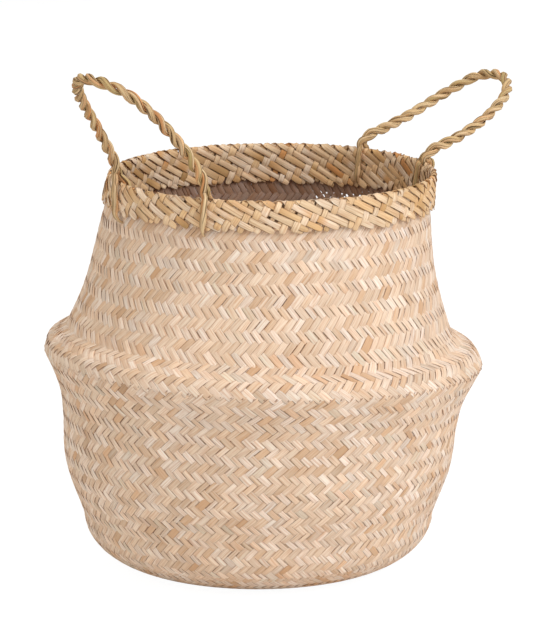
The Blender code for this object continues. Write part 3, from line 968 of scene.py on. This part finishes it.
@dataclass
class RimBand:
    """Wide strips that come up outside, turn over the edge and run down inside."""

    form: BasketForm
    strips: int = 64
    step: float = 0.0054
    samples: int = 6
    falling_turn: float = 0.0860
    rising_turn: float = 0.0122
    thickness: float = 0.0006
    lift: float = 0.0005
    falling_half: float = 0.00258
    rising_half: float = 0.00275
    # Lower tips: the row they lie at, how much that changes round the rim, and the angle
    # where they reach lowest
    tip_row: float = 1.25
    tip_reach: float = 0.5
    tip_turn: float = math.radians(-41.0)
    # Rows over which a tip narrows, and the share of the width that it narrows by
    tip_rows: float = 0.25
    tip_share: float = 0.4
    # Rows by which the lower and upper tips differ, spread and waves of the strips' places
    # as shares of their pitch, waves of their height in millimetres, and spread and waves
    # of their width as shares of it
    low_jitter: tuple = (-0.5, 0.4)
    high_jitter: tuple = (-0.3, 0.3)
    turn_spread: float = 0.05
    turn_waves: float = 0.03
    lift_waves: float = 0.12
    width_spread: float = 0.08
    width_waves: float = 0.06
    # Shares of a row between which a strip goes from over to under
    dive_shares: tuple = (0.15, 0.85)
    # Painted shade: a strip is lighter where it runs over and darker where it dives under
    over_under_shade: float = 0.05
    level: Variation = Variation(0.48, 0.10, 0.10, 10)
    tone: Variation = Variation(0.54, 0.17, 0.12, 7)
    # Darkness of the edge lines, partly the grass's own and partly painted shade in the gaps between
    # strips
    edge_middle: float = 0.85
    edge_waves: float = 0.25
    least_edge: float = 0.3
    normal_reach: float = 0.5 * MILLIMETRE
    # Points for each span of the fold, and how many times their distance it runs on
    fold_steps: int = 8
    run_on: float = 40.0
    seed: int = 37
    fold: tuple = (
        (0.1292, 0.2795), (0.1288, 0.285), (0.1283, 0.292), (0.1276, 0.2990), (0.1270, 0.3040),
        (0.1258, 0.3075), (0.1242, 0.3072), (0.1232, 0.3035), (0.1234, 0.2985), (0.1238, 0.289),
        (0.1236, 0.2785),
    )
    line: np.ndarray = field(init=False)
    marks: np.ndarray = field(init=False)
    length: float = field(init=False)

    def __post_init__(self) -> None:
        """Work out the folded section, which runs on straight past both ends."""
        line = smooth_line(np.array(self.fold), self.fold_steps)
        self.length = float(np.linalg.norm(np.diff(line, axis=0), axis=1).sum())
        start = line[0] - (line[1] - line[0]) * self.run_on
        end = line[-1] + (line[-1] - line[-2]) * self.run_on
        self.line = np.vstack([start, line, end])
        marks = distances(self.line)
        self.marks = marks - marks[1]

    def line_at(self, travelled: np.ndarray) -> Section:
        """Radius, height and normal on the band's folded section.

        Args:
            travelled: Distances from the outer lower edge.

        Returns:
            Radius, height, and the normal's parts outward and up.
        """
        return section_at(self.line, self.marks, travelled, self.normal_reach)

    def build(self) -> None:
        """Build the band's two families of strips, with twice as many that rise."""
        rng = np.random.default_rng(self.seed)
        for lean in Lean:
            strips = Strips(f"rim_{lean.name.lower()}_strips", RIM_FINISH)
            for i in range(self.strips * (1 if lean is Lean.FALLING else 2)):
                self.strip(strips, rng, lean, i)
            piece = strips.build()
            nodes = ("rim_outer_band", "rim_inner_band", "rim_rolled_edge")
            seat(piece, "rim_grass", *(nodes if lean is Lean.FALLING else ()))

    def strip(self, strips: Strips, rng: np.random.Generator, lean: Lean, i: int) -> None:
        """Add one strip of the band, with a cut tip at each end.

        Args:
            strips: Gathers the strips.
            rng: Seeded source of the draws.
            lean: Which family it belongs to.
            i: Which strip of the family.
        """
        falling = lean is Lean.FALLING
        pitch = 2 * math.pi / self.strips
        turn = pitch * (i if falling else i / 2)
        away = -math.cos(turn - self.tip_turn)
        low = self.tip_row + self.tip_reach * away + rng.uniform(*self.low_jitter)
        high = self.length / self.step + rng.uniform(*self.high_jitter)
        rows = np.linspace(low, high, int((high - low) * self.samples))
        radius, height, out_n, up_n = self.line_at(rows * self.step)
        turn = turn + rng.normal(0.0, self.turn_spread) * pitch
        turn = turn + (-self.falling_turn if falling else self.rising_turn) * rows
        turn = turn + wave(rng, len(rows), 5) * self.turn_waves * pitch
        # A falling strip meets a rising one every half row and dives under one in four
        places = rows * 2 if falling else rows + i / 2
        base = np.floor(places)
        met = (2 * i - base) if falling else i
        passed = i if falling else base
        over = []
        for extra in (0, 1):
            number = (met - extra) if falling else i
            crossed = passed if falling else (passed + extra)
            covered = (crossed - number) % 4 == 0
            over.append(np.where(covered, -1.0, 1.0) * (1 if falling else -1))
        eased = smooth_share(places - base, *self.dive_shares)
        over = over[0] * (1 - eased) + over[1] * eased
        lift = self.lift * over + wave(rng, len(rows), 6) * self.lift_waves * MILLIMETRE
        points = turned(radius + out_n * lift, turn, height + up_n * lift)
        cut_tip = 1 - self.tip_share
        tips = cut_tip + self.tip_share * np.clip((rows - low) / self.tip_rows, 0.0, 1.0)
        tips = tips * (cut_tip + self.tip_share * np.clip((high - rows) / self.tip_rows, 0.0, 1.0))
        half = self.falling_half if falling else self.rising_half
        width = half * rng.normal(1.0, self.width_spread) * tips
        width = width * (1 + wave(rng, len(rows), 9) * self.width_waves)
        # Random lightness, with painted shade that is lighter over and darker under
        level = self.level.draw(rng, len(rows)) + self.over_under_shade * over
        tone = self.tone.draw(rng, len(rows))
        edge = self.edge_middle + self.edge_waves * wave(rng, len(rows), 8)
        strips.add(
            self.form.settle(points), turned(out_n, turn, up_n), width, self.thickness,
            np.clip(tone, 0.0, 1.0), level, np.clip(edge, self.least_edge, 1.0),
        )


@dataclass
class RopeHandle:
    """A rope loop of two twisted plies, whose ends straddle the rim and are tucked in."""

    form: BasketForm
    name: str
    # Angles of its middle and of each leg from there, round the rim
    centre: float
    half_spread: float
    # How far the loop reaches, its angle out from upright, how far its end bends further
    # out or back, and how far it leans along the rim
    length: float
    lean: float
    bend: float
    skew: float
    shares: tuple
    seed: int
    rim_radius: float = 0.1262
    edge_height: float = 0.3054
    edge_radius: float = 0.0035
    hinge_rise: float = 0.0131
    band_outer: float = 0.1292
    band_top: float = 0.3016
    band_bottom: float = 0.287
    tuck_drop: float = 0.0065
    clearance: float = -0.0004
    ply_radius: float = 0.00235
    ply_offset: float = 0.00225
    # How far the plies stay twisted below the line that the loop swings about
    twisted_drop: float = 0.0075
    lay: float = 0.026
    straight: float = 0.003
    sweeps: tuple[float, float] = (0.02, -0.02)
    # Rope beside each leg top over which it bends up, and where on the drop that begins
    leg_bend: float = 0.008
    bend_share: float = 0.55
    # Distance before and after the hinge over which the rope bends when the loop swings
    blend_reach: float = 0.007
    # How flat the plies are pressed on the band, 1 being least, how far into the loop that
    # goes, and the shares by which they get narrower and broader with each step of it
    pressed_outer: float = 3.0
    pressed_inner: float = 4.2
    pressed_reach: float = 0.012
    pressed_shares: tuple[float, float] = (0.06, 0.12)
    # Blades: thickness, turn a metre, and the share of the lay that they turn back
    blades: int = 6
    blade_thickness: float = 0.0010
    blade_turn: float = 30.0
    blade_back_share: float = 0.9
    # Their depth and half width as shares of the ply's radius, with how much these vary
    depth_shares: tuple[float, float] = (0.64, 0.08)
    width_shares: tuple[float, float] = (0.60, 0.07)
    # Length of the tucked tips, and the shares of depth and width that are left there
    tip_reach: float = 0.014
    tip_shares: tuple[float, float] = (0.25, 0.22)
    blade_wander: float = 0.30
    level: Variation = Variation(0.5, 0.08, 0.12, 40)
    tone: Variation = Variation(0.55, 0.22, 0.12, 12)
    # Darkness of the blades' edge lines, partly their own and partly painted shade in the grooves
    # between blades
    edge: float = 0.95
    step: float = 0.0013

    def directions(self) -> tuple[np.ndarray, np.ndarray]:
        """Directions at the handle's middle.

        Returns:
            The outward and the sideways direction.
        """
        out = np.array((math.cos(self.centre), math.sin(self.centre), 0.0))
        side = np.array((-out[1], out[0], -self.form.rim_drop(-out[1], out[0])))
        return out, side / np.linalg.norm(side)

    def hinge(self) -> np.ndarray:
        """Middle of the line that the loop swings about.

        Returns:
            The point.
        """
        out, _ = self.directions()
        flat = out * self.rim_radius * math.cos(self.half_spread)
        flat[2] = self.edge_height
        place = self.form.settle(flat)
        place[2] = self.edge_height + self.hinge_rise - self.form.rim_drop(flat[0], flat[1])
        return place

    def loop_line(self) -> np.ndarray:
        """Middle line of the rope.

        Returns:
            Its points, from one leg top over the loop to the other.
        """
        out, side = self.directions()
        half = self.rim_radius * math.sin(self.half_spread)
        across, along = smooth_line(np.array(self.shares), 24).T
        reach, sag = along * self.length, self.bend * along * along
        outward = reach * math.sin(self.lean) + sag * math.cos(self.lean)
        up = reach * math.cos(self.lean) - sag * math.sin(self.lean)
        line = self.hinge() + np.outer(across * half + self.skew * along, side)
        line = line + np.outer(outward, out)
        line[:, 2] += up
        travelled = distances(line)
        kept = line[(travelled > self.leg_bend) & (travelled < travelled[-1] - self.leg_bend)]
        low = np.array((0.0, 0.0, -1.0)) * self.twisted_drop
        high = low * self.bend_share
        ends = (line[0] + low, line[0] + high), (line[-1] + high, line[-1] + low)
        return smooth_line(np.vstack([*ends[0], kept, *ends[1]]), 2)

    def leg_line(self, side: Side) -> list[tuple[float, float]]:
        """Distance out from the rim's middle and height along a leg ply, top first.

        Args:
            side: Outside the band or inside it.

        Returns:
            Pairs of distance and height.
        """
        around = self.edge_radius + self.clearance + self.ply_radius
        face = self.band_outer - self.rim_radius + self.clearance + self.ply_radius
        line = [
            (around * 0.68, self.edge_height + around * 0.76),
            (around * 0.92, self.edge_height + around * 0.45),
            (around * 1.02, self.edge_height),
            (face * 1.04, self.band_top - around * 0.40),
            (face, (self.band_top + self.band_bottom) / 2),
            (face, self.band_bottom),
            (face * 0.85, self.band_bottom - self.tuck_drop * 0.50),
            (face * 0.50, self.band_bottom - self.tuck_drop * 0.90),
            (face * 0.10, self.band_bottom - self.tuck_drop * 1.10),
        ]
        return [(side.value * out, height) for out, height in line]

    def leg_points(self, angle: float, side: Side, sweep: float) -> np.ndarray:
        """Settled points of a leg ply, from its top to its tucked tip.

        Args:
            angle: The leg's angle round the rim.
            side: Outside the band or inside it.
            sweep: How far it goes round the rim on its way down.

        Returns:
            The points.
        """
        rows = []
        line = self.leg_line(side)
        for k, (out, height) in enumerate(line):
            turn = angle + sweep * (0.2 + 0.8 * k / len(line))
            radius = self.rim_radius + out
            rows.append((radius * math.cos(turn), radius * math.sin(turn), height))
        return self.form.settle(np.array(rows))

    def ply_line(self, side: Side) -> np.ndarray:
        """Middle line of one ply: a leg, the twisted loop and the other leg.

        Args:
            side: The side of the band that its legs run down.

        Returns:
            The line's points, evenly spaced, each with the direction from ply to ply,
            how flat the ply is pressed and the angle of its lay.
        """
        out, _ = self.directions()
        line, travelled = spaced_line(self.loop_line(), self.step)
        along = unit(np.gradient(line, axis=0))
        sides, ups = self.carried(along, out)
        end = math.atan2(out @ ups[-1], out @ sides[-1])
        turns = round(travelled[-1] / self.lay) + end / (2 * math.pi)
        share = (travelled - self.straight) / (travelled[-1] - 2 * self.straight)
        angle = 2 * math.pi * turns * np.clip(share, 0.0, 1.0)
        swing = sides * np.cos(angle)[:, None] + ups * np.sin(angle)[:, None]
        ends = np.minimum(travelled, travelled[-1] - travelled)
        eased = smooth_share(ends, 0.0, self.pressed_reach)[:, None]
        pressed = self.pressed_outer - (self.pressed_outer - 1) * eased
        loop = np.hstack(
            [line + side.value * swing * self.ply_offset, swing, pressed, angle[:, None]]
        )
        legs = []
        flat = self.pressed_outer if side is Side.OUTER else self.pressed_inner
        for spread, sweep, lay in (
            (-self.half_spread, self.sweeps[0], angle[0]), (self.half_spread, self.sweeps[1], angle[-1])
        ):
            leg = self.leg_points(self.centre + spread, side, sweep)
            legs.append(np.hstack([leg, np.tile(np.append(out, (flat, lay)), (len(leg), 1))]))
        first = smooth_line(np.vstack([legs[0][::-1], loop[:2]]), 6)[:-7]
        second = smooth_line(np.vstack([loop[-2:], legs[1]]), 6)[7:]
        whole, _ = spaced_line(np.vstack([first, loop, second]), self.step)
        return whole

    @staticmethod
    def carried(along: np.ndarray, start: np.ndarray) -> tuple[np.ndarray, np.ndarray]:
        """Directions across a line that are carried along it without twist.

        Args:
            along: Directions of the line.
            start: Direction across it at its start.

        Returns:
            Two directions across the line at each point.
        """
        side, sides = start, []
        for direction in along:
            side = side - direction * (side @ direction)
            side = side / np.linalg.norm(side)
            sides.append(side)
        sides = np.array(sides)
        return sides, np.cross(along, sides)

    def build(self) -> None:
        """Build both plies of the rope, each of several blades of grass."""
        rng = np.random.default_rng(self.seed)
        out, _ = self.directions()
        middle = self.hinge()
        for side, letter in ((Side.OUTER, "a"), (Side.INNER, "b")):
            piece = self.ply(side, letter, rng)
            place = side.name.lower()
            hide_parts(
                f"handle_{self.name}_ply_{letter}",
                f"handle_{self.name}_first_leg_{place}",
                f"handle_{self.name}_second_leg_{place}",
            )
            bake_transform(piece)

    def ply(self, side: Side, letter: str, rng: np.random.Generator) -> bpy.types.Object:
        """Build one ply from its blades.

        Args:
            side: The side of the band that its legs run down.
            letter: Its letter in the piece's name.
            rng: Seeded source of the draws.

        Returns:
            The piece.
        """
        whole = self.ply_line(side)
        line, pressed = whole[:, :3], whole[:, 6]
        along = unit(np.gradient(line, axis=0))
        sides = whole[:, 3:6]
        sides = unit(sides - along * np.sum(sides * along, axis=1)[:, None])
        ups = np.cross(along, sides)
        travelled = np.arange(len(line)) * self.step
        ends = np.minimum(travelled, travelled[-1] - travelled)
        taper = smooth_share(ends, 0.0, self.tip_reach)
        slim, thin = (tip + (1 - tip) * taper for tip in self.tip_shares)
        narrow, broad = 1 - self.pressed_shares[0] * pressed, 1 + self.pressed_shares[1] * pressed
        lay = self.blade_back_share * whole[:, 7]
        strips = Strips(f"handle_{self.name}_rope_{letter}", ROPE_FINISH)
        for b in range(self.blades):
            wander = wave(rng, len(line), 30) * self.blade_wander
            angle = 2 * math.pi * b / self.blades - lay + travelled * self.blade_turn + wander
            cos, sin = np.cos(angle), np.sin(angle)
            share, spread = self.depth_shares
            depth = self.ply_radius * (share + spread * wave(rng, len(line), 40)) * slim
            ring = sides * (cos * narrow)[:, None] + ups * (sin * broad)[:, None]
            faces = sides * (cos / narrow)[:, None] + ups * (sin / broad)[:, None]
            share, spread = self.width_shares
            width = self.ply_radius * (share + spread * wave(rng, len(line), 36)) * thin
            level = self.level.draw(rng, len(line))
            tone = self.tone.draw(rng, len(line))
            strips.add(
                line + ring * depth[:, None], faces, width, self.blade_thickness,
                np.clip(tone, 0.0, 1.0), level, self.edge,
            )
        return strips.build()


# Points of each loop, as shares of its half width sideways and of its reach
RIGHT_SHARES = (
    (-1.0, 0.0), (-1.0, 0.33), (-0.86, 0.66), (-0.58, 0.88), (-0.03, 1.0),
    (0.58, 0.95), (0.90, 0.70), (0.97, 0.35), (1.0, 0.0),
)
LEFT_SHARES = (
    (-1.0, 0.0), (-0.96, 0.25), (-0.80, 0.57), (-0.52, 0.82), (0.0, 1.0),
    (0.56, 0.95), (0.78, 0.80), (0.95, 0.36), (1.0, 0.0),
)


@dataclass(frozen=True)
class Lamp:
    """A square area light that looks at the basket."""

    name: str
    # Degrees to the right of the camera, round the basket, and above the floor
    turn: float
    rise: float
    # Distance from the basket's middle, side of the square, and watts
    reach: float
    size: float
    power: float
    colour: tuple[float, float, float] = (1.0, 1.0, 1.0)

    def hang(self, azimuth: float, aim_height: float) -> None:
        """Hang the lamp.

        Args:
            azimuth: The camera's angle round the basket.
            aim_height: Height of the place that the lamp looks at.
        """
        turn, rise = azimuth + math.radians(self.turn), math.radians(self.rise)
        flat = math.cos(rise)
        away = np.array((math.sin(turn) * flat, -math.cos(turn) * flat, math.sin(rise)))
        data = bpy.data.lights.new(self.name, "AREA")
        data.size = self.size
        data.energy = self.power
        data.color = self.colour
        lamp = bpy.data.objects.new(self.name, data)
        lamp.location = away * self.reach + np.array((0.0, 0.0, aim_height))
        lamp.rotation_euler = (math.pi / 2 - rise, 0.0, turn)
        bpy.context.scene.collection.objects.link(lamp)


@dataclass
class Studio:
    """Camera, soft light, floor and a white surround."""

    azimuth: float = math.radians(-41.0)
    distance: float = 2.225
    height: float = 0.639
    pitch: float = math.radians(11.20)
    sideways: float = 0.0115
    focal_pixels: float = 2900.0
    picture_height: int = 620
    sensor: float = 36.0
    clip: tuple[float, float] = (0.05, 50.0)
    aim_height: float = 0.16
    lamps: tuple[Lamp, ...] = (
        Lamp("key_light", 48.0, 38.0, reach=2.6, size=1.5, power=32.5, colour=(0.97, 1.0, 1.07)),
        Lamp("fill_light", -60.0, 25.0, reach=3.0, size=2.2, power=8.5, colour=(1.0, 0.90, 0.77)),
        Lamp("top_light", 10.0, 82.0, reach=2.4, size=1.6, power=10.0),
    )
    # Light of the surround on the basket, and of the floor to the camera with its share
    surround_light: float = 0.50
    floor_light: float = 1.12
    floor_light_share: float = 0.86
    floor_size: float = 8.0
    floor_drop: float = 0.0004

    def build(self) -> None:
        """Make the camera, lights, world and floor."""
        self.camera()
        for lamp in self.lamps:
            lamp.hang(self.azimuth, self.aim_height)
        self.world()
        self.floor()
        bpy.context.scene.view_settings.view_transform = "Standard"

    def camera(self) -> None:
        """Place the camera at the photograph's viewing angle."""
        ahead = np.array((-math.sin(self.azimuth), math.cos(self.azimuth), 0.0))
        right = np.array((math.cos(self.azimuth), math.sin(self.azimuth), 0.0))
        eye = -ahead * self.distance + right * self.sideways
        data = bpy.data.cameras.new("camera")
        data.sensor_width = self.sensor
        data.sensor_height = self.sensor
        data.lens = self.focal_pixels / self.picture_height * self.sensor
        data.clip_start, data.clip_end = self.clip
        camera = bpy.data.objects.new("camera", data)
        camera.location = (eye[0], eye[1], self.height)
        camera.rotation_euler = (math.pi / 2 - self.pitch, 0.0, self.azimuth)
        bpy.context.scene.collection.objects.link(camera)
        bpy.context.scene.camera = camera

    def world(self) -> None:
        """Give a white surround to the camera and a soft light to the basket."""
        world = bpy.data.worlds.new("surround")
        world.use_nodes = True
        tree = world.node_tree
        path = add_node(tree, "ShaderNodeLightPath").outputs
        rays = {0: path["Is Camera Ray"], 1: path["Is Glossy Ray"]}
        seen = add_node(tree, "ShaderNodeMath", rays)
        seen.operation = "MAXIMUM"
        light = {"Value": seen.outputs[0], "To Min": self.surround_light, "To Max": 1.0}
        strength = add_node(tree, "ShaderNodeMapRange", light).outputs["Result"]
        surround = {"Color": (1.0, 1.0, 1.0, 1.0), "Strength": strength}
        connect(tree, tree.nodes["Background"], surround)
        bpy.context.scene.world = world

    def floor(self) -> None:
        """Lay a white floor that keeps a faint shadow of the basket."""
        material = bpy.data.materials.new("white_floor")
        material.use_nodes = True
        tree = material.node_tree
        shader = tree.nodes["Principled BSDF"]
        connect(tree, shader, {"Base Color": (0.9, 0.9, 0.9, 1.0), "Roughness": 0.9})
        glow = add_node(tree, "ShaderNodeEmission", {"Strength": self.floor_light})
        path = add_node(tree, "ShaderNodeLightPath").outputs
        factors = {0: path["Is Camera Ray"], 1: self.floor_light_share}
        share = add_node(tree, "ShaderNodeMath", factors)
        share.operation = "MULTIPLY"
        mixed = {"Fac": share.outputs[0], 1: shader.outputs["BSDF"], 2: glow.outputs["Emission"]}
        mix = add_node(tree, "ShaderNodeMixShader", mixed)
        connect(tree, tree.nodes["Material Output"], {"Surface": mix.outputs["Shader"]})
        place = (0.0, 0.0, -self.floor_drop)
        bpy.ops.mesh.primitive_plane_add(size=self.floor_size, location=place)
        floor = bpy.context.object
        floor.name = "floor"
        floor.data.materials.append(material)


def main() -> None:
    """Build the basket's visible pieces and the studio round it."""
    logging.basicConfig(level=logging.INFO)
    form = BasketForm()
    Studio().build()
    wall = PlaitedWall(form)
    wall.build()
    PlaitedMat(form, wall).build()
    RimBand(form).build()
    RopeHandle(
        form, "right", centre=math.radians(-5.0), half_spread=math.radians(18.7), length=0.1137,
        lean=math.radians(75.8), bend=-0.022, skew=-0.007, shares=RIGHT_SHARES, seed=51,
    ).build()
    RopeHandle(
        form, "left", centre=math.radians(183.2), half_spread=math.radians(23.0), length=0.1102,
        lean=math.radians(33.9), bend=0.022, skew=0.0067, shares=LEFT_SHARES, seed=52,
        sweeps=(0.19, 0.03),
    ).build()


if __name__ == "__main__":
    main()
